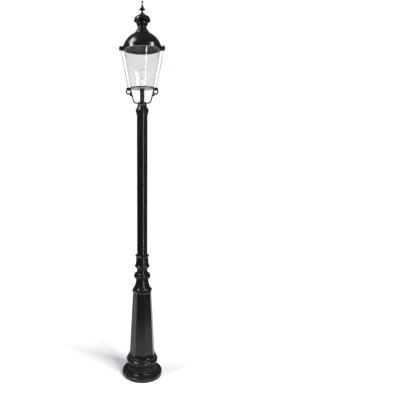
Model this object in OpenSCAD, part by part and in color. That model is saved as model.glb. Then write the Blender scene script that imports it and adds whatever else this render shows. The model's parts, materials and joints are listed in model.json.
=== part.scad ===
/* [Base] */
// Radius of the foundation flange
flange_r = 176.5; // [170:0.5:185]
// Thickness of the foundation flange
flange_t = 33; // [25:1:40]
// Pitch circle diameter of the anchor holes
anchor_pcd = 312; // [300:1:320]
// Radius of one anchor hole
anchor_r = 9; // [7:0.5:10]
// Corner radius of the octagon at its foot
octagon_low_r = 112.8; // [110:0.2:116]
// Corner radius of the octagon at its head
octagon_top_r = 84; // [82:0.2:88]
// Wall of the pedestal casting
casting_t = 7; // [5:0.5:9]

/* [Post] */
// Outer radius of the steel post tube
tube_r = 44.45; // [44:0.05:45]
// Wall of the post tube
tube_t = 3.2; // [2.5:0.1:4]
// Height of the lower end of the tube
tube_low = 800; // [780:5:860]
// Radius of the spigot that carries the lantern
spigot_r = 30; // [29:0.1:31]

/* [Lantern] */
// Outer radius of the glass shade at its foot
glass_low_r = 95; // [94:0.1:96]
// Outer radius of the glass shade at its mouth
glass_top_r = 152; // [150:0.1:153]
// Wall of the glass shade
glass_t = 3; // [2:0.1:3.5]
// Radius of one tie rod
rod_r = 3; // [2.6:0.1:3.2]
// Radius of the stem tube
stem_r = 18.25; // [17:0.05:19]
// Half thickness of one yoke arm, front to back
arm_half_w = 7; // [5:0.5:8]
// Spherical radius of the hood
dome_r = 162.8; // [160:0.2:165]
// Thickness of the spun hood sheet
sheet_t = 2; // [1.5:0.1:2.5]

/* [Service door] */
// Width of the door opening
door_w = 58; // [50:1:60]
// Height of the door opening
door_h = 200; // [150:5:220]
// Thickness of the door
door_t = 5; // [4:0.5:6]

/* [Hidden] */
$fn = 96;
fit = 0.06;
gap = 0.4;

// Heights, from the ground up
octagon_low_z = 207;
octagon_top_z = 757;
baluster_top_z = 1093;
cap_low_z = 2293;
cap_top_z = 2353;
collar_top_z = 2398;
hoop_low_z = 2503;
hoop_top_z = 2511;
glass_low_z = 2510;
glass_top_z = 2811;
socket_z = 2527;
rim_seat_z = 2840.6;
dome_centre_z = 2793.2;
neck_z = 2944;
cap_seat_z = 3022;
rim_r = 159.4;
finial_z = 3080;

// Tie rods lean outwards from the loops to the ears
rod_low = [113, 2496];
ear = [179, 2824];
rod_lean = atan((ear[0] - rod_low[0]) / (ear[1] - rod_low[1]));
loop = [112, 2479];
loop_r = 13.5;

// The octagon is turned so that one face looks to the back
octagon_turn = 13;
door_turn = octagon_turn + 67.5;
octagon_slope = (octagon_low_r - octagon_top_r) / (octagon_top_z - octagon_low_z);
face_lean = atan(octagon_slope * cos(22.5));
rail_top_z = 744.9;
door_z = 350;
hinge_at = [3.2, -31];
lock_y = 20;

black = [0.09, 0.085, 0.09];
brass = [0.80, 0.66, 0.36];
steel = [0.70, 0.71, 0.73];
zinc = [0.60, 0.61, 0.63];
ceramic = [0.93, 0.92, 0.89];
rubber_grey = [0.20, 0.20, 0.21];
clear = [0.85, 0.90, 0.92, 0.35];
plastic_grey = [0.62, 0.64, 0.66];

// Points of an arc in an outline, from angle a to angle b
function arc(cx, cy, r, a, b, n = 10) =
    [for (i = [0:n]) [cx + r * cos(a + (b - a) * i / n), cy + r * sin(a + (b - a) * i / n)]];

// Corner radius of the octagon at height z
function octagon_r(z) = octagon_top_r + octagon_slope * (octagon_top_z - z);

// Radius of the round cavity inside the octagon at height z
function cavity_r(z) = octagon_r(z) * cos(22.5) - casting_t;

// Outer radius of the glass at height z
function glass_r(z) =
    glass_low_r + (glass_top_r - glass_low_r) * (z - glass_low_z) / (glass_top_z - glass_low_z);

module turned(points) {
    rotate_extrude() polygon(points);
}

module ring(r_out, r_in, z0, z1) {
    translate([0, 0, z0]) difference() {
        cylinder(r = r_out, h = z1 - z0);
        translate([0, 0, -1]) cylinder(r = r_in, h = z1 - z0 + 2);
    }
}

module rod(r, z0, z1) {
    translate([0, 0, z0]) cylinder(r = r, h = z1 - z0);
}

module cross_rod(r, y0, y1) {
    translate([0, y1, 0]) rotate([90, 0, 0]) cylinder(r = r, h = y1 - y0);
}

// A rod along X, from x0 to x1
module outward_rod(r, x0, x1) {
    translate([x0, 0, 0]) rotate([0, 90, 0]) cylinder(r = r, h = x1 - x0);
}

module block(x, y, z) {
    translate([x[0], y[0], z[0]]) cube([x[1] - x[0], y[1] - y[0], z[1] - z[0]]);
}

module around(angles) {
    for (a = angles) rotate([0, 0, a]) children();
}

// Puts children on the door face: X outwards, Y along the face, Z up the face
module on_door_face() {
    rotate([0, 0, door_turn])
        translate([octagon_r(door_z) * cos(22.5), 0, door_z])
            rotate([0, -face_lean, 0])
                children();
}

/* ---------- pedestal and service door ---------- */

module pedestal_round_foot() {
    turned(concat(
        [[0, 0], [flange_r - 2, 0], [flange_r, 2]],
        arc(flange_r - 4, flange_t - 4, 4, 0, 90, 4),
        [[137, flange_t]],
        arc(137, 56, 22, 265, 180, 8),
        [[114, 66], [114, 78], [122, 80]],
        arc(122, 86, 6, -80, 80, 6),
        [[119, 93], [119, 99], [126, 103]],
        arc(118, 138, 22, -50, 75, 14),
        [[121, 163], [121, 170]],
        arc(118, 193, 18, 285, 262, 3),
        [[100, 190], [0, 190]]));
}

module pedestal_octagon() {
    rotate([0, 0, octagon_turn]) {
        translate([0, 0, 186])
            cylinder(r1 = octagon_r(186) + 6, r2 = octagon_low_r, h = octagon_low_z - 186, $fn = 8);
        translate([0, 0, octagon_low_z])
            cylinder(r1 = octagon_low_r, r2 = octagon_top_r,
                     h = octagon_top_z - octagon_low_z, $fn = 8);
    }
    translate([0, 0, 160]) cylinder(r = 100, h = 40);
}

// The bolts that join the two castings; the one opposite the door also holds the rail
module at_bolts(angles = [-90, 0, 90, 180]) {
    facing_door() around(angles) translate([56, 0, 0]) children();
}

module pedestal_cavity() {
    cavity_top_z = octagon_top_z - 12;
    translate([0, 0, -1]) cylinder(r = 96, h = 196);
    translate([0, 0, 190])
        cylinder(r1 = cavity_r(190), r2 = cavity_r(cavity_top_z), h = cavity_top_z - 190);
    rod(46, cavity_top_z - 1, octagon_top_z + 1);
    at_bolts() translate([0, 0, cavity_top_z - 1]) cylinder(r = 4.5, h = 20);
}

module pedestal() {
    color(black) {
        difference() {
            union() {
                pedestal_round_foot();
                pedestal_octagon();
            }
            pedestal_cavity();
            around([35.5:90:305.5])
                translate([anchor_pcd / 2, 0, -1]) cylinder(r = anchor_r, h = flange_t + 2);
            on_door_face()
                block([-26, 6], [-door_w / 2, door_w / 2], [-door_h / 2, door_h / 2]);
            on_door_face() for (z = [-70, 70])
                translate([0, -36.5, z]) outward_rod(1.6, -9, 3);
        }
        on_door_face() difference() {
            block([-16, -11], [12, 39], [-10, 10]);
            translate([0, lock_y, 0]) outward_rod(4.2, -17, -10);
        }
    }
}

module door_knuckle(z0, z1) {
    translate([hinge_at[0], hinge_at[1], 0]) ring(3, 1.5 + fit, z0, z1);
}

module service_door() {
    edge = 1;
    hw = door_w / 2 - edge;
    hh = door_h / 2 - edge;
    color(black) on_door_face() {
        difference() {
            union() {
                block([-door_t, 0], [-hw, hw], [-hh, hh]);
                block([0, 2], [hinge_at[1] + 2, -14], [-28, 28]);
                block([0.2, 3], [hinge_at[1], hinge_at[1] + 3], [-28, 28]);
            }
            translate([0, lock_y, 0]) outward_rod(2.6 + fit, -door_t - 1, 3);
            translate([hinge_at[0], hinge_at[1], 0]) rod(2.9, -30, 30);
        }
        door_knuckle(-28, 28);
    }
}

module door_hinge_leaf() {
    color(black) on_door_face() {
        difference() {
            union() {
                for (z = [[-90, -29], [29, 90]]) {
                    block([gap / 2, 2.2], [-39.5, hinge_at[1] - 1], z);
                    block([gap / 2, 3], [hinge_at[1] - 3, hinge_at[1]], z);
                }
                block([gap / 2, 2.2], [-39.5, -36], [-30, 30]);
            }
            translate([hinge_at[0], hinge_at[1], 0]) rod(2.9, -91, 91);
            for (z = [-70, 70]) translate([0, -36.5, z]) outward_rod(1.7, -1, 4);
        }
        for (z = [[-90, -29], [29, 90]])
            translate([hinge_at[0], hinge_at[1], 0]) ring(3, 1.5, z[0], z[1]);
    }
}

module door_hinge_pin() {
    color(steel) on_door_face()
        translate([hinge_at[0], hinge_at[1], 0]) rod(1.5, -90, 90);
}

module hinge_leaf_screws() {
    color(steel) on_door_face() for (z = [-70, 70]) translate([0, -36.5, z]) {
        outward_rod(1.5, -7, 2.2);
        outward_rod(2, 2.2, 3.2);
    }
}

module door_lock_screw() {
    color(zinc) on_door_face() translate([0, lock_y, 0]) {
        outward_rod(2.6, -14.5, 0);
        difference() {
            outward_rod(6, 0.2, 4.2);
            translate([2.2, 0, 0]) rotate([0, 90, 0]) cylinder(r = 3.2, h = 3, $fn = 3);
        }
        outward_rod(2.6, 0, 0.3);
    }
}

module door_screw_ring() {
    color(steel) on_door_face() translate([-10.2, lock_y, 0]) rotate([0, 90, 0]) ring(4, 2.6, 0, 1);
}

/* ---------- baluster, tube and what is inside the post ---------- */

module baluster_profile() {
    turned(concat(
        [[0, octagon_top_z + 24], [80, octagon_top_z + 24], [77, 794], [71, 802],
         [65.5, 818], [60.5, 836], [57, 856], [54.6, 872], [54.6, 879]],
        arc(62, 893, 9, 235, 270, 3),
        [[70, 886]],
        arc(68, 903.5, 7, -70, 70, 8),
        arc(63, 938, 14.5, 290, 215, 5),
        [[48.6, 944], [48.4, 960], [50.5, 968], [58, 978]],
        arc(60.5, 992, 6.5, -70, 70, 8),
        [[60, 1003], [57, 1012], [55.8, 1022], [54.6, 1040], [53, 1060], [53, 1070], [55, 1075]],
        arc(54.5, 1084, 5.8, -65, 65, 8),
        [[54, baluster_top_z], [0, baluster_top_z]]));
}

module baluster() {
    color(black) difference() {
        union() {
            baluster_profile();
            rotate([0, 0, octagon_turn]) translate([0, 0, octagon_top_z]) {
                cylinder(r1 = 84, r2 = 90.5, h = 12, $fn = 8);
                translate([0, 0, 12]) cylinder(r = 90.5, h = 12, $fn = 8);
                translate([0, 0, 24]) cylinder(r1 = 90.5, r2 = 80, h = 9, $fn = 8);
            }
        }
        rod(38, octagon_top_z - 1, tube_low + 1);
        rod(tube_r + 0.5, tube_low, baluster_top_z + 1);
        at_bolts() translate([0, 0, octagon_top_z - 1]) cylinder(r = 4.05, h = 23);
        around([60, 180, 300]) translate([0, 0, 1040]) outward_rod(4.05, 40, 60);
    }
}

module baluster_bolts() {
    color(zinc) {
        at_bolts() {
            rod(4, rail_top_z - 4.1, octagon_top_z + 18);
            translate([0, 0, rail_top_z - 10]) cylinder(r = 7.5, h = 5.9, $fn = 6);
        }
        at_bolts([-90, 0, 90]) rod(7, rail_top_z - 4.1, octagon_top_z - 12.1);
    }
}

module baluster_grub_screws() {
    color(zinc) around([60, 180, 300]) translate([0, 0, 1040]) difference() {
        outward_rod(4, tube_r + 0.1, 53.4);
        translate([50.5, 0, 0]) rotate([0, 90, 0]) cylinder(r = 2.3, h = 4, $fn = 6);
    }
}

module post_tube() {
    color(black) ring(tube_r, tube_r - tube_t, tube_low, cap_top_z - 12);
}

// Puts children in the door's direction, with X = 0 on the post's axis
module facing_door() {
    rotate([0, 0, door_turn]) children();
}

module terminal_rail() {
    color(zinc) facing_door() difference() {
        union() {
            block([-19, -15], [-14, 14], [232, rail_top_z]);
            block([-64, -15], [-14, 14], [rail_top_z - 4, rail_top_z]);
        }
        for (z = [250, 310, 390]) translate([0, 0, z]) outward_rod(2.6, -20, -14);
        translate([-56, 0, rail_top_z - 5]) cylinder(r = 4.1, h = 6);
    }
}

module terminal_box() {
    color(plastic_grey) facing_door() difference() {
        block([-15, 15], [-25, 25], [290, 410]);
        block([-12, 16], [-22, 22], [293, 407]);
        rod(8.05, 280, 296);
        rod(4.6, 400, 416);
        for (z = [310, 390]) translate([0, 0, z]) outward_rod(2.6, -16, -11);
    }
}

module terminal_cover() {
    color(plastic_grey) facing_door() difference() {
        block([15, 27], [-25, 25], [290, 410]);
        block([14, 24], [-22, 22], [293, 407]);
    }
}

module terminal_block() {
    color(ceramic) facing_door() difference() {
        block([-12, 9], [-16, 16], [325, 365]);
        for (y = [-10, 0, 10], z = [333, 357])
            translate([0, y, z]) outward_rod(3, 3, 10);
    }
}

module cable_gland() {
    color(rubber_grey) difference() {
        union() {
            rod(8, 282, 297);
            translate([0, 0, 276]) cylinder(r = 12, h = 8, $fn = 6);
            rod(9, 266, 276);
        }
        rod(5.5, 260, 300);
    }
}

module earth_stud() {
    color(brass) facing_door() translate([-15, 0, 250]) {
        outward_rod(2.5, -7, 16);
        for (x = [0.1, 9]) translate([x, 0, 0]) rotate([0, 90, 0]) cylinder(r = 5, h = 4, $fn = 6);
    }
}

// The lamp's cable climbs the post's axis from the terminal block to the lamp holder
module lamp_cable() {
    color(rubber_grey) rod(3.8, 366, 2519);
}

/* ---------- top of the post ---------- */

module post_cap() {
    color(black) difference() {
        turned(concat(
            [[0, cap_low_z], [48.4, cap_low_z], [49.2, cap_low_z + 1], [49.2, 2305.5],
             [50, 2308], [51.5, 2311], [52.5, 2314]],
            arc(49.5, 2327, 6.5, -60, 50, 8),
            [[51.3, 2336], [51.3, 2338.5], [48.5, 2341.5], [46.4, 2345], [43.8, 2350]],
            [[42.8, cap_top_z], [spigot_r, cap_top_z], [spigot_r, 2389], [0, 2389]]));
        rod(tube_r + 0.5, cap_low_z - 1, cap_top_z - 11);
        rod(22, cap_low_z, 2390);
    }
}

module lantern_collar() {
    color(black) difference() {
        turned(concat(
            [[0, cap_top_z + gap], [38.2, cap_top_z + gap]],
            arc(36.2, 2356.5, 3.3, -50, 50, 6),
            [[37.4, 2360.6]],
            arc(36, 2367, 3.6, -60, 60, 6),
            [[37, 2373.5], [36.8, 2377], [37.4, 2379.5]],
            arc(35.4, 2387, 4.2, -60, 60, 6),
            [[34, 2393.5], [26, 2395.5], [22.5, collar_top_z], [0, collar_top_z]]));
        rod(spigot_r + 0.5, cap_top_z, 2390.5);
        rod(stem_r, 2385, collar_top_z + 1);
        around([30, 150, 270]) translate([0, 0, 2370]) outward_rod(4.05, 28, 42);
        for (s = [-1, 1]) translate([0, 0, 2385.5]) outward_rod(1.2, s > 0 ? 26 : -42, s > 0 ? 42 : -26);
    }
}

module collar_grub_screws() {
    color(zinc) around([30, 150, 270]) translate([0, 0, 2370]) difference() {
        outward_rod(4, spigot_r + 0.1, 40.2);
        translate([37.5, 0, 0]) rotate([0, 90, 0]) cylinder(r = 2.3, h = 4, $fn = 6);
    }
}

module stem_tube() {
    color(black) ring(stem_r, stem_r - 2.5, 2391, 2518);
}

module stem_nut() {
    color(zinc) difference() {
        translate([0, 0, hoop_low_z + 2.6]) cylinder(r = 26, h = 7, $fn = 6);
        rod(stem_r + 0.05, 2500, 2520);
    }
}

// One arm with its loop, drawn for +X in the XZ plane
module arm_outline() {
    bend_r = 30;
    half = 4.9;
    lean = 13.3;
    bend_x = 45.5;
    arm_z = 2386;
    bend = [bend_x, arm_z + bend_r];
    turn_end = bend + bend_r * [cos(lean), -sin(lean)];
    difference() {
        union() {
            translate([39.9, arm_z - half]) square([bend_x - 39.9 + 0.1, 2 * half]);
            difference() {
                translate(bend) circle(r = bend_r + half);
                translate(bend) circle(r = bend_r - half);
                polygon([bend, bend + 60 * [cos(lean), -sin(lean)], bend + [60, 60],
                         bend + [-60, 60], bend + [-60, -60], bend + [0, -60]]);
            }
            translate(turn_end) rotate(-lean) translate([-half, -0.1]) square([2 * half, 140]);
            translate(loop) circle(r = 24);
            translate([103.6, 2484]) square([28, 27]);
            translate([128.5, 2486]) rotate(12) square([5, 18]);
            polygon([[94, 2474], [105, 2498], [96, 2502], [88, 2462]]);
            translate([99, 2450.5]) circle(r = 5.6);
            polygon([[84, 2452], [99, 2456], [99, 2445], [83, 2438]]);
            polygon([[93, 2452], [103, 2452], [108, 2460], [94, 2464]]);
        }
        translate(loop) circle(r = loop_r);
        translate([60, hoop_low_z]) square([43.6, 40]);
        translate([60, 2511]) square([90, 60]);
    }
}

module yoke_arm() {
    difference() {
        union() {
            translate([0, arm_half_w, 0]) rotate([90, 0, 0])
                linear_extrude(2 * arm_half_w) arm_outline();
        }
        along_rod() rod(rod_r + 0.1, -14, 30);
    }
}

// Z runs up along the right tie rod, from its lower end
module along_rod() {
    translate([rod_low[0], 0, rod_low[1]]) rotate([0, rod_lean, 0]) children();
}

module yoke_arm_right() {
    color(black) yoke_arm();
}

module yoke_arm_left() {
    color(black) mirror([1, 0, 0]) yoke_arm();
}

module bottom_hoop() {
    color(black) difference() {
        union() {
            ring(103, 98, hoop_low_z, hoop_top_z);
            ring(98.5, 86, hoop_low_z + 2.6, hoop_low_z + 5);
        }
        around([45:90:315]) translate([92, 0, 2490]) cylinder(r = 2.05, h = 30);
    }
}

module tray_plate() {
    slot = [46, 9];
    color(steel) difference() {
        rod(97.6, hoop_low_z, hoop_low_z + 2.5);
        rod(stem_r + 0.1, 2490, 2520);
        around([45:90:315]) translate([92, 0, 2490]) cylinder(r = 2.05, h = 30);
        for (sx = [-1, 1], sy = [-1, 1])
            translate([sx * 47, sy * 32, 2490]) linear_extrude(30) union() {
                square([slot[0] - slot[1], slot[1]], center = true);
                for (e = [-1, 1]) translate([e * (slot[0] - slot[1]) / 2, 0]) circle(d = slot[1]);
            }
    }
}

module tray_screws() {
    color(steel) around([45:90:315]) translate([92, 0, 0]) {
        rod(2, hoop_low_z, hoop_low_z + 5);
        rod(3.6, hoop_low_z - 2, hoop_low_z);
    }
}

module lower_gasket() {
    color(rubber_grey) ring(97.4, 88, hoop_low_z + 5, glass_low_z);
}

module glass_shade() {
    color(clear) rotate_extrude() polygon([
        [glass_low_r - glass_t, glass_low_z], [glass_low_r, glass_low_z],
        [glass_top_r, glass_top_z], [glass_top_r - glass_t, glass_top_z]]);
}

rod_length = norm(ear - rod_low);

module tie_rod_left() {
    color(brass) mirror([1, 0, 0]) {
        along_rod() rod(rod_r, -8, rod_length - 5);
        difference() {
            translate([ear[0], 0, ear[1]]) cross_rod(6.8, -4.5, 4.5);
            translate([ear[0], 0, ear[1]]) cross_rod(3 + fit, -6, 6);
        }
    }
}

module tie_rod_right() {
    color(brass) {
        along_rod() rod(rod_r, -8, rod_length - 16);
        translate([ear[0] - 1, 0, 0]) difference() {
            rod(6.2, 2808, 2820);
            rod(3, 2811, 2821);
        }
    }
}

module rod_collars() {
    color(brass) for (m = [0, 1]) mirror([m, 0, 0]) along_rod() {
        ring(4.6, rod_r + 0.05, 16.6, 20.5);
        ring(3.9, rod_r + 0.05, 20.5, 24);
    }
}

module rod_nuts() {
    color(brass) for (m = [0, 1]) mirror([m, 0, 0]) along_rod() difference() {
        union() {
            rod(4.8, -10.4, -6.2);
            translate([0, 0, -10.4]) sphere(r = 4.2, $fn = 32);
        }
        rod(rod_r + 0.05, -8, 0);
    }
}

/* ---------- lamp ---------- */

module holder_bracket() {
    color(zinc) {
        difference() {
            rod(21.5, 2519, socket_z);
            rod(stem_r + 0.05, 2518, 2524);
            rod(4.2, 2518, socket_z + 1);
        }
    }
}

module lamp_holder() {
    color(ceramic) difference() {
        turned(concat(
            [[0, socket_z], [17, socket_z], [21, socket_z + 6], [23.5, socket_z + 12]],
            arc(21, socket_z + 43, 2.5, 0, 90, 4),
            [[0, socket_z + 45.5]]));
        rod(15.2, socket_z + 11, socket_z + 50);
    }
}

module holder_contact() {
    color(brass) {
        difference() {
            rod(15, socket_z + 11, socket_z + 38);
            rod(14, socket_z + 12.5, socket_z + 39);
        }
    }
}

module bulb_cap() {
    color(steel) turned([
        [0, socket_z + 13], [5, socket_z + 13], [6, socket_z + 15], [12.5, socket_z + 19],
        [13.3, socket_z + 21], [13.3, socket_z + 44], [14.4, socket_z + 47],
        [14.4, socket_z + 49], [0, socket_z + 49]]);
}

module bulb_glass() {
    low = socket_z + 49;
    centre = 2632;
    r = 28.8;
    color(clear) difference() {
        turned(concat([[0, low], [14.2, low], [14.6, low + 6], [18, low + 17]],
            arc(0, centre, r, -43, 90, 16)));
        turned(concat([[0, low + 12], [13.4, low + 12], [16.8, low + 18.4]],
            arc(0, centre, r - 1.2, -43, 90, 16)));
    }
}

module bulb_mount() {
    low = socket_z + 61;
    color(clear) {
        rod(6, low, low + 6);
        rod(2.4, low + 5, low + 34);
        for (s = [-1, 1]) translate([s * 3.5, 0, low + 5]) cylinder(r = 0.7, h = 20, $fn = 16);
        for (s = [-1, 1]) translate([s * 3.5, 0, low + 24]) rotate([0, s * 40, 0])
            cylinder(r = 0.7, h = 17, $fn = 16);
        translate([0, 0, low + 33]) rotate([0, 90, 0])
            translate([0, 0, -14]) cylinder(r = 0.8, h = 28, $fn = 16);
    }
}

/* ---------- hood ---------- */

module rim_body() {
    turned(concat(
        [[146, 2815], [155.3, 2815], [155.3, 2811], [158.4, 2811]],
        arc(rim_r - 1, 2812, 1, -90, 0, 3),
        [[rim_r, 2827.5], [158.6, 2829], [157.2, 2830.2], [157.2, 2832.2], [158.2, 2833.4],
         [158.3, rim_seat_z], [153.5, rim_seat_z], [153.5, 2821], [146, 2818]]));
}

// The flat web that blends the two ears into the round rim
module rim_web() {
    translate([0, 0, 2816]) linear_extrude(16) difference() {
        hull() {
            circle(r = rim_r);
            for (s = [-1, 1]) translate([s * 174, 0]) circle(r = 14);
        }
        circle(r = 156);
    }
}

// One ear of the rim, rounded at its outer end
module rim_ear() {
    ear_low_z = 2811;
    low_round = 4;
    top_round = 12;
    intersection() {
        translate([0, 13, 0]) rotate([90, 0, 0]) linear_extrude(26) hull() {
            translate([164, ear_low_z]) square([10, 2841 - ear_low_z]);
            translate([190 - low_round, ear_low_z + low_round]) circle(r = low_round);
            translate([190 - top_round, 2841 - top_round]) circle(r = top_round);
        }
        translate([0, 0, 2800]) linear_extrude(50) hull() {
            translate([160, -13]) square([26, 26]);
            translate([160, -9]) square([30, 18]);
        }
    }
}

module hood_rim() {
    left = -ear[0];
    right = ear[0] - 1;
    color(black) difference() {
        union() {
            rim_body();
            rim_web();
            rim_ear();
            mirror([1, 0, 0]) rim_ear();
        }
        rod(146, 2800, 2845);
        ring_of_rim_screws(2.05);
        translate([left, 0, 0]) block([-14, 22], [-5.2, 5.2], [2800, 2833]);
        translate([left, 0, ear[1]]) {
            cross_rod(3, -14, 14);
            cross_rod(5.2, 13, 20);
            cross_rod(5.2, -20, -13);
        }
        rod_pocket(right);
    }
}

module rod_pocket(x) {
    translate([x, 0, 0]) {
        rod(7.6, 2800, 2822);
        rod(4.6, 2821, 2833);
        rod(2.6 + fit, 2832, 2842);
    }
    translate([x, 0, 0]) block([-9, 0], [-4.2, 4.2], [2800, 2812]);
}

// The spun dome ends in a skirt that nests in the rim
module hood_dome() {
    inner_r = dome_r - sheet_t;
    skirt_r = 153.2;
    low_a = asin((rim_seat_z + 0.1 - dome_centre_z) / dome_r);
    top_a = asin((neck_z - dome_centre_z) / dome_r);
    inner_top_a = asin((neck_z - sheet_t - dome_centre_z) / inner_r);
    inner_low_a = asin((rim_seat_z + 2.4 - dome_centre_z) / inner_r);
    color(black) difference() {
        turned(concat(
            arc(0, dome_centre_z, dome_r, low_a, top_a, 20),
            [[30, neck_z], [30, neck_z - sheet_t], [54, neck_z - sheet_t]],
            arc(0, dome_centre_z, inner_r, inner_top_a, inner_low_a, 20),
            [[skirt_r - sheet_t, rim_seat_z - 1], [skirt_r - sheet_t, 2822], [skirt_r, 2822],
             [skirt_r, rim_seat_z + 0.1]]));
        ring_of_rim_screws(2.05);
    }
}

// The radial screws that hold the dome's skirt in the rim, or their holes
module ring_of_rim_screws(r) {
    around([45:90:315]) translate([0, 0, 2830]) outward_rod(r, 151, 156.4);
}

module upper_gasket() {
    color(rubber_grey) ring(155, 144, glass_top_z + 0.3, 2815);
}

module rim_screws() {
    color(zinc) {
        ring_of_rim_screws(2);
        around([45:90:315]) translate([0, 0, 2830]) outward_rod(3.6, 149, 151);
    }
}

module ventilator_neck() {
    color(black) difference() {
        turned(concat(
            [[0, neck_z], [61.5, neck_z]],
            arc(47.5, neck_z + 1, 14, 5, 80, 6),
            [[47.2, 2962.5]],
            arc(43.4, 2968, 4, -50, 80, 6),
            [[38.2, 2977]],
            arc(41.7, 2990, 7, 235, 125, 6),
            [[35.6, 2999.5], [37.6, 3002.5], [41, 3007], [45.6, 3010.6], [46.5, 3013]],
            [[46.5, cap_seat_z], [0, cap_seat_z]]));
        rod(28, neck_z - 1, cap_seat_z - 8);
        rod(5.1, cap_seat_z - 9, cap_seat_z + 1);
        around([0:60:300]) translate([19, 0, cap_seat_z - 9]) cylinder(r = 5, h = 12);
    }
}

module ventilator_cap() {
    color(black) difference() {
        turned(concat(
            [[0, cap_seat_z], [47, cap_seat_z], [48.5, 3026], [53, 3030], [60, 3034.5],
             [67.5, 3039.5], [68.8, 3042.5], [66.5, 3047]],
            arc(34, 3048, 31.5, 0, 82, 10),
            [[30, finial_z - 1], [26, finial_z], [0, finial_z]]));
        turned([[24, 3020], [42, 3020], [42, 3027], [55, 3036], [56, 3050], [47, 3066], [24, 3072]]);
        rod(5.1, 3020, 3090);
    }
}

module finial() {
    color(black) difference() {
        turned(concat(
            [[0, finial_z], [22.5, finial_z]],
            arc(14, 3091, 9.5, -15, 75, 8),
            [[10.5, 3103], [8.2, 3106], [8.2, 3120], [10, 3122], [18, 3125]],
            arc(22, 3130.5, 3, -60, 75, 6),
            [[16.5, 3136.5], [13.8, 3139], [12.4, 3146], [8.4, 3159], [4.8, 3170], [3, 3177.5]],
            arc(0, 3187.8, 9, -70, 90, 12)));
        rod(4.05, 3080, 3108);
    }
}

module stack_rod() {
    color(zinc) rod(4, neck_z - 22, 3106);
}

module stack_washer() {
    color(zinc) ring(44, 4.1, neck_z - sheet_t - 4.5, neck_z - sheet_t - 0.02);
}

module stack_nut() {
    color(zinc) difference() {
        translate([0, 0, neck_z - sheet_t - 12]) cylinder(r = 8, h = 7, $fn = 6);
        rod(4.05, 2920, 2950);
    }
}

module hood_hinge_pin() {
    color(brass) translate([-ear[0], 0, ear[1]]) {
        cross_rod(3, -13, 13);
        cross_rod(4.8, -15.5, -13);
        cross_rod(4.4, 13, 15);
    }
}

module latch_washer() {
    color(brass) translate([ear[0] - 1, 0, 0]) ring(6, 3.1, 2841, 2842);
}

module latch_screw() {
    color(brass) translate([ear[0] - 1, 0, 0]) {
        rod(2.6, 2812.5, 2843);
        difference() {
            rod(5.6, 2842.2, 2850);
            for (a = [0:30:330]) rotate([0, 0, a]) translate([6.2, 0, 2842]) cylinder(r = 0.9, h = 9, $fn = 16);
        }
    }
}

module latch_ring() {
    color(steel) translate([ear[0] - 1, 0, 0]) ring(4, 2.6, 2822.4, 2823.6);
}

pedestal();
service_door();
door_hinge_leaf();
door_hinge_pin();
hinge_leaf_screws();
door_lock_screw();
door_screw_ring();
baluster();
baluster_bolts();
baluster_grub_screws();
terminal_rail();
terminal_box();
terminal_cover();
terminal_block();
cable_gland();
earth_stud();
lamp_cable();
post_tube();
post_cap();
lantern_collar();
collar_grub_screws();
stem_tube();
stem_nut();
yoke_arm_left();
yoke_arm_right();
bottom_hoop();
tray_plate();
tray_screws();
lower_gasket();
glass_shade();
tie_rod_left();
tie_rod_right();
rod_collars();
rod_nuts();
holder_bracket();
lamp_holder();
holder_contact();
bulb_cap();
bulb_glass();
bulb_mount();
hood_rim();
hood_dome();
upper_gasket();
rim_screws();
ventilator_neck();
ventilator_cap();
finial();
stack_rod();
stack_washer();
stack_nut();
hood_hinge_pin();
latch_washer();
latch_screw();
latch_ring();
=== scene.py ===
"""Looks for the street lamp post: a cast pedestal, a tube and a lantern with a hinged hood."""
import bpy
import bmesh
import json
import math
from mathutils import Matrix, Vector


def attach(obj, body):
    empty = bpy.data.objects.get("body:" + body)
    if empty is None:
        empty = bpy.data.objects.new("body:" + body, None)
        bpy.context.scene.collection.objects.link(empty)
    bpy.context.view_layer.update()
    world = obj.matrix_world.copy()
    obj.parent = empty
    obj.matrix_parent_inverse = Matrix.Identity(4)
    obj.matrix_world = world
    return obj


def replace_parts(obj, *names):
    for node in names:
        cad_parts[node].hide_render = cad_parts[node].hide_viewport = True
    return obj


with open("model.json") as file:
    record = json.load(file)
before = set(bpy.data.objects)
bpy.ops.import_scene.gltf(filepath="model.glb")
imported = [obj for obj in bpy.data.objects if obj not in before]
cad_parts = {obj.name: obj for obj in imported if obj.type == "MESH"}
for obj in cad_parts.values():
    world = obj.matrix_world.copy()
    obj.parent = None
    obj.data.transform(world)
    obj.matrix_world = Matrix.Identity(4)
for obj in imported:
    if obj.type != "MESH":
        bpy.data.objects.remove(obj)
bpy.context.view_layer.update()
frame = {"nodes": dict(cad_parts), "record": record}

MM = 0.001
FULL_TURN = 2 * math.pi
SMOOTH_ANGLE = math.radians(32)  # an edge sharper than this stays crisp
FLAT_ANGLE = math.radians(0.6)   # faces closer than this count as one flat face
ROUND_ANGLE = math.radians(14)   # an outline's corner gentler than this is left as it is
WELD = 1e-6
BODY_OF = {n: b for b, nodes in frame["record"]["behaviour"]["bodies"].items() for n in nodes}
SLOT_OF = {s["node"]: s["material_slot"] for s in frame["record"]["subparts"]}


# ---------------------------------------------------------------- materials

def new_material(name):
    mat = bpy.data.materials.new(name)
    mat.use_nodes = True
    nodes = mat.node_tree.nodes
    return mat, nodes, mat.node_tree.links, nodes["Principled BSDF"]


def set_inputs(node, **values):
    """Constant inputs by name, with an underscore for each space."""
    for key, value in values.items():
        node.inputs[key.replace("_", " ")].default_value = value


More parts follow.
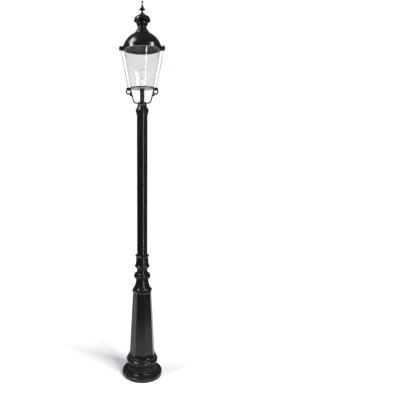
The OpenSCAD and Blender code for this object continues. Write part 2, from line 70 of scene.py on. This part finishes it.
def noise(nodes, links, scale, detail=4.0, stretch=(1, 1, 1)):
    """Noise in the object's own coordinates; stretch squeezes it along an axis."""
    coord = nodes.new("ShaderNodeTexCoord")
    mapping = nodes.new("ShaderNodeMapping")
    mapping.inputs["Scale"].default_value = stretch
    tex = nodes.new("ShaderNodeTexNoise")
    tex.inputs["Scale"].default_value = scale
    tex.inputs["Detail"].default_value = detail
    links.new(coord.outputs["Object"], mapping.inputs["Vector"])
    links.new(mapping.outputs["Vector"], tex.inputs["Vector"])
    return tex.outputs["Fac"]


def ramp(nodes, links, source, stops):
    """A colour ramp over the source, from stops of (place, colour)."""
    node = nodes.new("ShaderNodeValToRGB")
    elements = node.color_ramp.elements
    while len(elements) < len(stops):
        elements.new(0.5)
    for element, (place, value) in zip(elements, stops):
        element.position = place
        element.color = (*value, 1)
    links.new(source, node.inputs["Fac"])
    return node.outputs["Color"]


def mix_colour(nodes, links, factor, a, b):
    """A blend from a to b; each is a colour or the output of another node."""
    node = nodes.new("ShaderNodeMix")
    node.data_type = "RGBA"
    links.new(factor, node.inputs["Factor"])
    for socket, value in ((node.inputs["A"], a), (node.inputs["B"], b)):
        if isinstance(value, tuple):
            socket.default_value = (*value, 1)
        else:
            links.new(value, socket)
    return node.outputs["Result"]


def add_bump(nodes, links, shader, height, strength, distance):
    node = nodes.new("ShaderNodeBump")
    node.inputs["Strength"].default_value = strength
    node.inputs["Distance"].default_value = distance
    links.new(height, node.inputs["Height"])
    links.new(node.outputs["Normal"], shader.inputs["Normal"])


def multiply(nodes, links, a, b):
    node = nodes.new("ShaderNodeMath")
    node.operation = "MULTIPLY"
    links.new(a, node.inputs[0])
    links.new(b, node.inputs[1])
    return node.outputs[0]


def grey(value):
    return (value, value, value)


FINE = 0.0003  # depth of a surface's finest marks, in metres
DUST = (0.22, 0.205, 0.19)
DUST_COVER = 0.10


def painted(name, dark, light, rough, grain=900, peel=0.03):
    """Semi-gloss coat: tone and gloss that drift, orange peel, and dust on the faces that look up."""
    mat, nodes, links, shader = new_material(name)
    tone = mix_colour(nodes, links, noise(nodes, links, 7, 5), dark, light)
    normal = nodes.new("ShaderNodeNewGeometry").outputs["Normal"]
    split = nodes.new("ShaderNodeSeparateXYZ")
    links.new(normal, split.inputs[0])
    up = ramp(nodes, links, split.outputs["Z"], [(0.80, grey(0)), (1.0, grey(DUST_COVER))])
    speckle = ramp(nodes, links, noise(nodes, links, 160, 6), [(0.42, grey(0)), (0.72, grey(1))])
    settled = multiply(nodes, links, up, speckle)
    links.new(mix_colour(nodes, links, settled, tone, DUST), shader.inputs["Base Color"])
    gloss = ramp(nodes, links, noise(nodes, links, 24, 6),
                 [(0.3, grey(rough - 0.02)), (0.7, grey(rough + 0.03))])
    links.new(gloss, shader.inputs["Roughness"])
    add_bump(nodes, links, shader, noise(nodes, links, grain, 3), peel, FINE)
    set_inputs(shader, Specular_IOR_Level=0.34)
    return mat


def metal(name, colour, tarnish, rough, brush=(1, 1, 1)):
    """Bare metal with tarnish in patches and fine turning or drawing marks."""
    mat, nodes, links, shader = new_material(name)
    patches = ramp(nodes, links, noise(nodes, links, 60, 6), [(0.45, grey(0)), (0.8, grey(0.7))])
    links.new(mix_colour(nodes, links, patches, colour, tarnish), shader.inputs["Base Color"])
    marks = noise(nodes, links, 500, 4, brush)
    gloss = ramp(nodes, links, marks, [(0.3, grey(rough - 0.06)), (0.7, grey(rough + 0.1))])
    links.new(gloss, shader.inputs["Roughness"])
    add_bump(nodes, links, shader, marks, 0.12, FINE)
    set_inputs(shader, Metallic=1.0)
    return mat


def moulded(name, colour, shade, rough, grain_scale, strength):
    """Plastic, rubber or glazed ceramic with a fine surface grain."""
    mat, nodes, links, shader = new_material(name)
    links.new(mix_colour(nodes, links, noise(nodes, links, 30, 5), colour, shade),
              shader.inputs["Base Color"])
    grain = noise(nodes, links, grain_scale, 4)
    gloss = ramp(nodes, links, grain, [(0.3, grey(rough - 0.05)), (0.7, grey(rough + 0.08))])
    links.new(gloss, shader.inputs["Roughness"])
    add_bump(nodes, links, shader, grain, strength, 0.0004)
    return mat


def clear(name, colour, rough, film):
    """Clear glass with a faint uneven film and long draw ripples."""
    mat, nodes, links, shader = new_material(name)
    set_inputs(shader, Transmission_Weight=1.0, IOR=1.45)
    links.new(mix_colour(nodes, links, noise(nodes, links, 5, 3), colour,
                         tuple(c * 0.985 for c in colour)), shader.inputs["Base Color"])
    smear = ramp(nodes, links, noise(nodes, links, 9, 5, (1, 1, 0.25)),
                 [(0.5, grey(rough)), (0.85, grey(rough + film))])
    links.new(smear, shader.inputs["Roughness"])
    add_bump(nodes, links, shader, noise(nodes, links, 10, 2, (1, 1, 0.15)), 0.05, 0.0008)
    return mat


BLACK = painted("black_powder_coat", (0.0035, 0.003, 0.0033), (0.006, 0.005, 0.0055), 0.23)
CAST = painted("black_cast_coat", (0.0035, 0.003, 0.0035), (0.007, 0.006, 0.0065), 0.22,
               grain=420, peel=0.07)
TUBE = painted("black_tube_coat", (0.0035, 0.003, 0.003), (0.006, 0.005, 0.005), 0.21)
BRASS = metal("brass_satin", (0.66, 0.50, 0.27), (0.40, 0.29, 0.15), 0.26, (1, 1, 0.1))
STEEL = metal("steel_satin", (0.74, 0.75, 0.77), (0.55, 0.55, 0.56), 0.30)
TUNGSTEN = metal("tungsten_wire", (0.42, 0.41, 0.40), (0.30, 0.29, 0.28), 0.35)
ZINC = metal("zinc_plate", (0.62, 0.63, 0.65), (0.48, 0.47, 0.44), 0.38)
TRAY = painted("white_tray_enamel", (0.74, 0.74, 0.76), (0.82, 0.82, 0.84), 0.30)
CERAMIC = moulded("glazed_ceramic", (0.88, 0.87, 0.84), (0.82, 0.81, 0.77), 0.16, 120, 0.04)
RUBBER = moulded("black_rubber", (0.030, 0.030, 0.031), (0.050, 0.049, 0.048), 0.66, 700, 0.25)
GREY_PLASTIC = moulded("grey_plastic", (0.50, 0.52, 0.54), (0.44, 0.46, 0.48), 0.45, 800, 0.15)
SHADE_GLASS = clear("shade_glass", (0.874, 0.877, 0.886), 0.004, 0.03)
BULB_GLASS = clear("bulb_glass", (0.99, 0.99, 0.99), 0.0, 0.01)

LOOKS = {"black_paint": BLACK, "black_tube": TUBE, "brass": BRASS, "steel": STEEL, "zinc": ZINC,
         "ceramic": CERAMIC, "rubber": RUBBER, "grey_plastic": GREY_PLASTIC,
         "clear_glass": SHADE_GLASS}
LOOK_OF_NODE = {"pedestal": CAST, "baluster": CAST, "service_door": CAST, "door_hinge_leaf": CAST,
                "tray_plate": TRAY, "bulb_glass": BULB_GLASS, "bulb_mount": BULB_GLASS}


def look_of(node):
    """A node's own look where it has one, or else its material slot's."""
    return LOOK_OF_NODE.get(node, LOOKS[SLOT_OF[node]])


def dress_cad_nodes():
    for name, obj in frame["nodes"].items():
        obj.data.materials.clear()
        obj.data.materials.append(look_of(name))
        smooth(obj)


# ---------------------------------------------------------------- mesh helpers

def smooth(obj, angle=SMOOTH_ANGLE):
    """Smooth shading, with edges sharper than the angle kept crisp."""
    mesh = obj.data
    mesh.polygons.foreach_set("use_smooth", [True] * len(mesh.polygons))
    mesh.set_sharp_from_angle(angle=angle)


def new_mesh(name, bm):
    """The finished mesh of a bmesh, which is freed."""
    mesh = bpy.data.meshes.new(name)
    bm.to_mesh(mesh)
    bm.free()
    return mesh


def add_object(name, data):
    obj = bpy.data.objects.new(name, data)
    bpy.context.scene.collection.objects.link(obj)
    return obj


def add_piece(name, mesh, node, look):
    """A new piece that rides with the body that holds the node."""
    obj = add_object(name, mesh)
    mesh.materials.append(look)
    smooth(obj)
    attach(obj, BODY_OF[node])
    return obj


def stand_in(name, mesh, node):
    """A detailed piece that is shown instead of a CAD node, and is dressed as it is."""
    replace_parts(add_piece(name, mesh, node, look_of(node)), node)


def arc(cx, cy, r, a, b, n=12):
    """Points of an arc in an outline, in millimetres, from angle a to angle b in degrees."""
    return [(cx + r * math.cos(math.radians(a + (b - a) * i / n)),
             cy + r * math.sin(math.radians(a + (b - a) * i / n))) for i in range(n + 1)]


def eased(outline, radius, steps=4):
    """The closed outline with each corner rounded by up to this radius, so that its edges catch light."""
    points = [Vector(p) for p in outline]
    result = []
    for i, corner in enumerate(points):
        before, after = points[i - 1], points[(i + 1) % len(points)]
        a, b = before - corner, after - corner
        turn = math.pi - a.angle(b) if min(a.length, b.length) > WELD else 0
        if turn < ROUND_ANGLE or corner.x < WELD:
            result.append(corner)
            continue
        reach = min(radius * math.tan(turn / 2) if turn < 3 else radius, a.length / 3, b.length / 3)
        start, end = corner + a.normalized() * reach, corner + b.normalized() * reach
        for s in range(steps + 1):
            t = s / steps
            result.append(start * (1 - t) ** 2 + corner * 2 * t * (1 - t) + end * t * t)
    return [tuple(p) for p in result]


def spun(name, rows):
    """A closed mesh about the post's axis; each row goes once round in (radius, height), in mm."""
    bm = bmesh.new()
    rings = []
    for row in rows:
        if row[0][0] < WELD:
            rings.append([bm.verts.new((0, 0, row[0][1] * MM))] * len(row))
            continue
        rings.append([bm.verts.new((r * MM * math.cos(FULL_TURN * i / len(row)),
                                    r * MM * math.sin(FULL_TURN * i / len(row)), z * MM))
                      for i, (r, z) in enumerate(row)])
    for low, high in zip(rings, rings[1:] + rings[:1]):
        for i in range(len(low)):
            j = (i + 1) % len(low)
            corners = list(dict.fromkeys([low[i], low[j], high[j], high[i]]))
            if len(corners) >= 3:
                bm.faces.new(corners)
    bmesh.ops.recalc_face_normals(bm, faces=bm.faces)
    return new_mesh(name, bm)


def turned(name, outline, node, ease=0.8, segments=128):
    """A stand-in turned about the post's axis, from a closed outline of (radius, height) in mm."""
    rows = [[point] * segments for point in eased(outline, ease)]
    stand_in(name, spun(name, rows), node)


def eased_casting(node, width, steps=2):
    """A stand-in with a CAD node's own shape and its sharp edges rounded over."""
    bm = bmesh.new()
    bm.from_mesh(frame["nodes"][node].data)
    bmesh.ops.remove_doubles(bm, verts=bm.verts, dist=WELD)
    bmesh.ops.dissolve_limit(bm, angle_limit=FLAT_ANGLE, verts=bm.verts, edges=bm.edges)
    sharp = [e for e in bm.edges if len(e.link_faces) == 2 and e.calc_face_angle(0) > SMOOTH_ANGLE]
    bmesh.ops.bevel(bm, geom=sharp, offset=width * MM, offset_type="OFFSET", segments=steps,
                    profile=0.5, affect="EDGES", clamp_overlap=True)
    name = node + "_eased"
    stand_in(name, new_mesh(name, bm), node)


def wire(name, path, radius, look, sides=8):
    """A round wire of the bulb's mount, swept along points in mm, in the look it is given."""
    points = [Vector(p) * MM for p in path]
    bm = bmesh.new()
    side = Vector((0, 1, 0))
    rings = []
    for i, point in enumerate(points):
        ahead = (points[min(i + 1, len(points) - 1)] - points[max(i - 1, 0)]).normalized()
        side = (side - ahead * side.dot(ahead)).normalized()
        up = ahead.cross(side)
        rings.append([bm.verts.new(point + (side * math.cos(a) + up * math.sin(a)) * radius * MM)
                      for a in (FULL_TURN * s / sides for s in range(sides))])
    for low, high in zip(rings, rings[1:]):
        for i in range(sides):
            j = (i + 1) % sides
            bm.faces.new((low[i], low[j], high[j], high[i]))
    bm.faces.new(rings[0][::-1])
    bm.faces.new(rings[-1])
    bmesh.ops.recalc_face_normals(bm, faces=bm.faces)
    add_piece(name, new_mesh(name, bm), "bulb_mount", look)


# ---------------------------------------------------------------- the lantern

FINIAL_Z = 3080      # where the finial sits on the ventilator's cap
STACK_ROD_R = 5.1    # the hole for the rod that holds the two


def make_hood_pieces():
    """The finial and the ventilator's cap, with the CAD's outlines and finer turning."""
    turned("finial_turned", [(0, FINIAL_Z), (22.5, FINIAL_Z)] + arc(14, 3091, 9.5, -15, 75)
           + [(10.5, 3103), (8.2, 3106), (8.2, 3120), (10, 3122), (18, 3125)]
           + arc(22, 3130.5, 3, -60, 75)
           + [(16.5, 3136.5), (13.8, 3139), (12.4, 3146), (8.4, 3159), (4.8, 3170), (3, 3177.5)]
           + arc(0, 3187.8, 9, -70, 90, 20), "finial", segments=64)
    turned("ventilator_cap_spun", [(42, 3022), (47, 3022), (48.5, 3026), (53, 3030), (60, 3034.5),
                                   (67.5, 3039.5), (68.8, 3042.5), (66.5, 3047)]
           + arc(34, 3048, 31.5, 0, 82, 20)
           + [(30, FINIAL_Z - 1), (26, FINIAL_Z), (STACK_ROD_R, FINIAL_Z), (STACK_ROD_R, 3072),
              (24, 3072), (47, 3066), (56, 3050), (55, 3036), (42, 3027)], "ventilator_cap")


CAP_R = 13.3
THREAD_LOW_Z, THREAD_HIGH_Z = 2547, 2572
THREAD_PITCH = 3.62
THREAD_DEPTH = 0.95
THREAD_RUN_OUT = 1 / 8  # the share of the thread's height in which it fades at each end


def make_bulb_cap(segments=64, steps=90):
    """The rolled thread of the bulb's cap, between its contact and its skirt."""
    contact = [(0, 2540), (5, 2540), (6, 2542), (12.2, 2546)]
    skirt = [(CAP_R, 2573), (14.4, 2574.3), (14.4, 2576), (0, 2576)]
    thread = []
    for s in range(steps + 1):
        climbed = s / steps
        z = THREAD_LOW_Z + (THREAD_HIGH_Z - THREAD_LOW_Z) * s / steps
        depth = THREAD_DEPTH * min(1, climbed / THREAD_RUN_OUT, (1 - climbed) / THREAD_RUN_OUT)
        turns = [z / THREAD_PITCH - i / segments for i in range(segments)]
        thread.append([(CAP_R - depth * (0.5 - 0.5 * math.cos(FULL_TURN * t)), z) for t in turns])
    rows = ([[point] * segments for point in contact] + thread
            + [[point] * segments for point in skirt])
    stand_in("bulb_cap_threaded", spun("bulb_cap_threaded", rows), "bulb_cap")


STEM_LOW_Z, STEM_WAIST_Z = 2588, 2594
FILAMENT_Z = 2621                 # the middle of the bow that the filament makes
BOW_REACH, BOW_RISE = 12.5, 6.5
BOW_START, BOW_SWEEP = 205, -230  # degrees
COIL_TURNS, COIL_R, COIL_STEPS = 34, 0.5, 10
FILAMENT_R, FEED_R, HOOK_R = 0.16, 0.3, 0.14


def make_filament():
    """The glass stem with its two feed wires, two hooks and the coiled filament."""
    turned("bulb_stem", [(0, STEM_LOW_Z), (6, STEM_LOW_Z), (6, STEM_WAIST_Z), (3.2, 2599), (2.2, 2606),
                         (2.2, 2619), (2.6, FILAMENT_Z), (2, FILAMENT_Z + 1), (0, FILAMENT_Z + 1)],
           "bulb_mount", ease=0.4, segments=48)
    coil = []
    count = COIL_TURNS * COIL_STEPS
    for s in range(count + 1):
        a = math.radians(BOW_START + BOW_SWEEP * (s / count))
        swing = FULL_TURN * s / COIL_STEPS
        out = COIL_R * math.cos(swing)
        coil.append(((BOW_REACH + out) * math.cos(a), COIL_R * math.sin(swing),
                     FILAMENT_Z + BOW_RISE * math.sin(a) + out))
    wire("filament", coil, FILAMENT_R, TUNGSTEN, sides=6)
    for name, side, end in (("left", -1, coil[0]), ("right", 1, coil[-1])):
        wire("feed_wire_" + name, [(side * 2, 0, STEM_WAIST_Z), (side * 3.4, 0, 2601),
                                   (side * 6.5, 0, 2608), (end[0] * 0.98, 0, end[2] - 1.5), end],
             FEED_R, STEEL)
        wire("hook_" + name, [(side * 0.6, 0, FILAMENT_Z - 0.5), (side * 4, 0.2, 2624),
                              (side * 6.6, 0, 2626.2)], HOOK_R, STEEL)


# How far each casting's sharp edges are rounded over, in mm
EASED_EDGES = {"yoke_arm_left": 2.0, "yoke_arm_right": 2.0, "service_door": 0.8,
               "bottom_hoop": 0.8, "rod_nuts": 0.4}


def make_castings():
    for node, width in EASED_EDGES.items():
        eased_casting(node, width)


def make_pieces():
    make_hood_pieces()
    make_bulb_cap()
    make_filament()
    make_castings()


# ---------------------------------------------------------------- stage, lights and camera

CAMERA_DISTANCE = 3.41
CAMERA_HEIGHT = 1.991
CAMERA_PITCH = math.radians(7)
CAMERA_SHIFT_X = 0.1445
LENS = SENSOR = 36


def make_camera():
    data = bpy.data.cameras.new("camera")
    data.lens = LENS
    data.sensor_width = SENSOR
    data.shift_x = CAMERA_SHIFT_X
    camera = add_object("camera", data)
    camera.location = (0, -CAMERA_DISTANCE, CAMERA_HEIGHT)
    camera.rotation_euler = (math.pi / 2 - CAMERA_PITCH, 0, 0)
    bpy.context.scene.camera = camera


def aim(light, direction):
    light.rotation_euler = Vector(direction).to_track_quat("-Z", "Y").to_euler()


def area_light(name, place, target, size, power, tint=(1, 1, 1)):
    data = bpy.data.lights.new(name, "AREA")
    data.shape = "RECTANGLE"
    data.size, data.size_y = size
    data.energy = power
    data.color = tint
    light = add_object(name, data)
    light.location = place
    aim(light, Vector(target) - Vector(place))


def sun_light(name, direction, strength, spread):
    """A soft key that lights the floor and casts the shadow, and isn't seen in the paint."""
    data = bpy.data.lights.new(name, "SUN")
    data.energy = strength
    data.angle = math.radians(spread)
    light = add_object(name, data)
    aim(light, direction)
    light.visible_glossy = False


def make_world():
    """A white studio behind everything the camera sees, and a dim room in what the paint reflects."""
    world = bpy.data.worlds.new("studio")
    world.use_nodes = True
    nodes, links = world.node_tree.nodes, world.node_tree.links
    room = nodes["Background"]
    set_inputs(room, Color=(0.94, 0.95, 1, 1), Strength=0.10)
    white = nodes.new("ShaderNodeBackground")
    set_inputs(white, Color=(1, 1, 1, 1), Strength=1.05)
    path = nodes.new("ShaderNodeLightPath")
    seen = nodes.new("ShaderNodeMath")
    seen.operation = "MAXIMUM"
    links.new(path.outputs["Is Camera Ray"], seen.inputs[0])
    links.new(path.outputs["Is Transmission Ray"], seen.inputs[1])
    blend = nodes.new("ShaderNodeMixShader")
    links.new(seen.outputs[0], blend.inputs[0])
    links.new(room.outputs[0], blend.inputs[1])
    links.new(white.outputs[0], blend.inputs[2])
    links.new(blend.outputs[0], nodes["World Output"].inputs["Surface"])
    bpy.context.scene.world = world


LANTERN = (0, 0, 3.0)


def make_lights():
    area_light("left_softbox", (-2.4, -0.45, 5.3), (0, 0, 2.85), (1.5, 1.7), 150, (0.94, 0.95, 1))
    area_light("left_kicker", (-2.8, -1.3, 3.5), LANTERN, (0.8, 0.6), 70, (0.96, 0.97, 1))
    area_light("right_kicker", (2.5, -1.5, 3.45), LANTERN, (0.4, 0.55), 60)
    area_light("front_strip", (1.5, -2.9, 1.5), (0, 0, 1.5), (0.24, 2.9), 44, (1, 0.95, 0.92))
    sun_light("key", (-0.78, 0.72, -0.90), 4.3, 32)


FLOOR_CENTRE, FLOOR_R = (-0.4, 1.3), 2.5
FLOOR_REACH = 4.0  # metres from the post at which the floor's fade has run out


def floor_material():
    """Matt and pale, with a glow that grows away from the post, so the far edge melts into white."""
    mat, nodes, links, shader = new_material("studio_floor")
    links.new(mix_colour(nodes, links, noise(nodes, links, 2, 3), grey(0.67), grey(0.68)),
              shader.inputs["Base Color"])
    set_inputs(shader, Roughness=0.9, Specular_IOR_Level=0.1, Emission_Strength=1)
    coord = nodes.new("ShaderNodeTexCoord")
    spread = nodes.new("ShaderNodeMapping")
    spread.inputs["Scale"].default_value = grey(1 / FLOOR_REACH)
    nearness = nodes.new("ShaderNodeTexGradient")
    nearness.gradient_type = "SPHERICAL"
    links.new(coord.outputs["Object"], spread.inputs["Vector"])
    links.new(spread.outputs["Vector"], nearness.inputs["Vector"])
    glow = ramp(nodes, links, nearness.outputs["Fac"], [(0.35, grey(0.4)), (0.72, grey(0.04))])
    links.new(glow, shader.inputs["Emission Color"])
    return mat


def make_floor(segments=96):
    """A round floor under the post."""
    mesh = bpy.data.meshes.new("studio_floor")
    angles = [FULL_TURN * i / segments for i in range(segments)]
    mesh.from_pydata([(FLOOR_CENTRE[0] + FLOOR_R * math.cos(a),
                       FLOOR_CENTRE[1] + FLOOR_R * math.sin(a), 0) for a in angles],
                     [], [tuple(range(segments))])
    mesh.materials.append(floor_material())
    add_object("studio_floor", mesh)


make_camera()
dress_cad_nodes()
make_pieces()
make_world()
make_lights()
make_floor()
bpy.context.scene.view_settings.view_transform = "Standard"
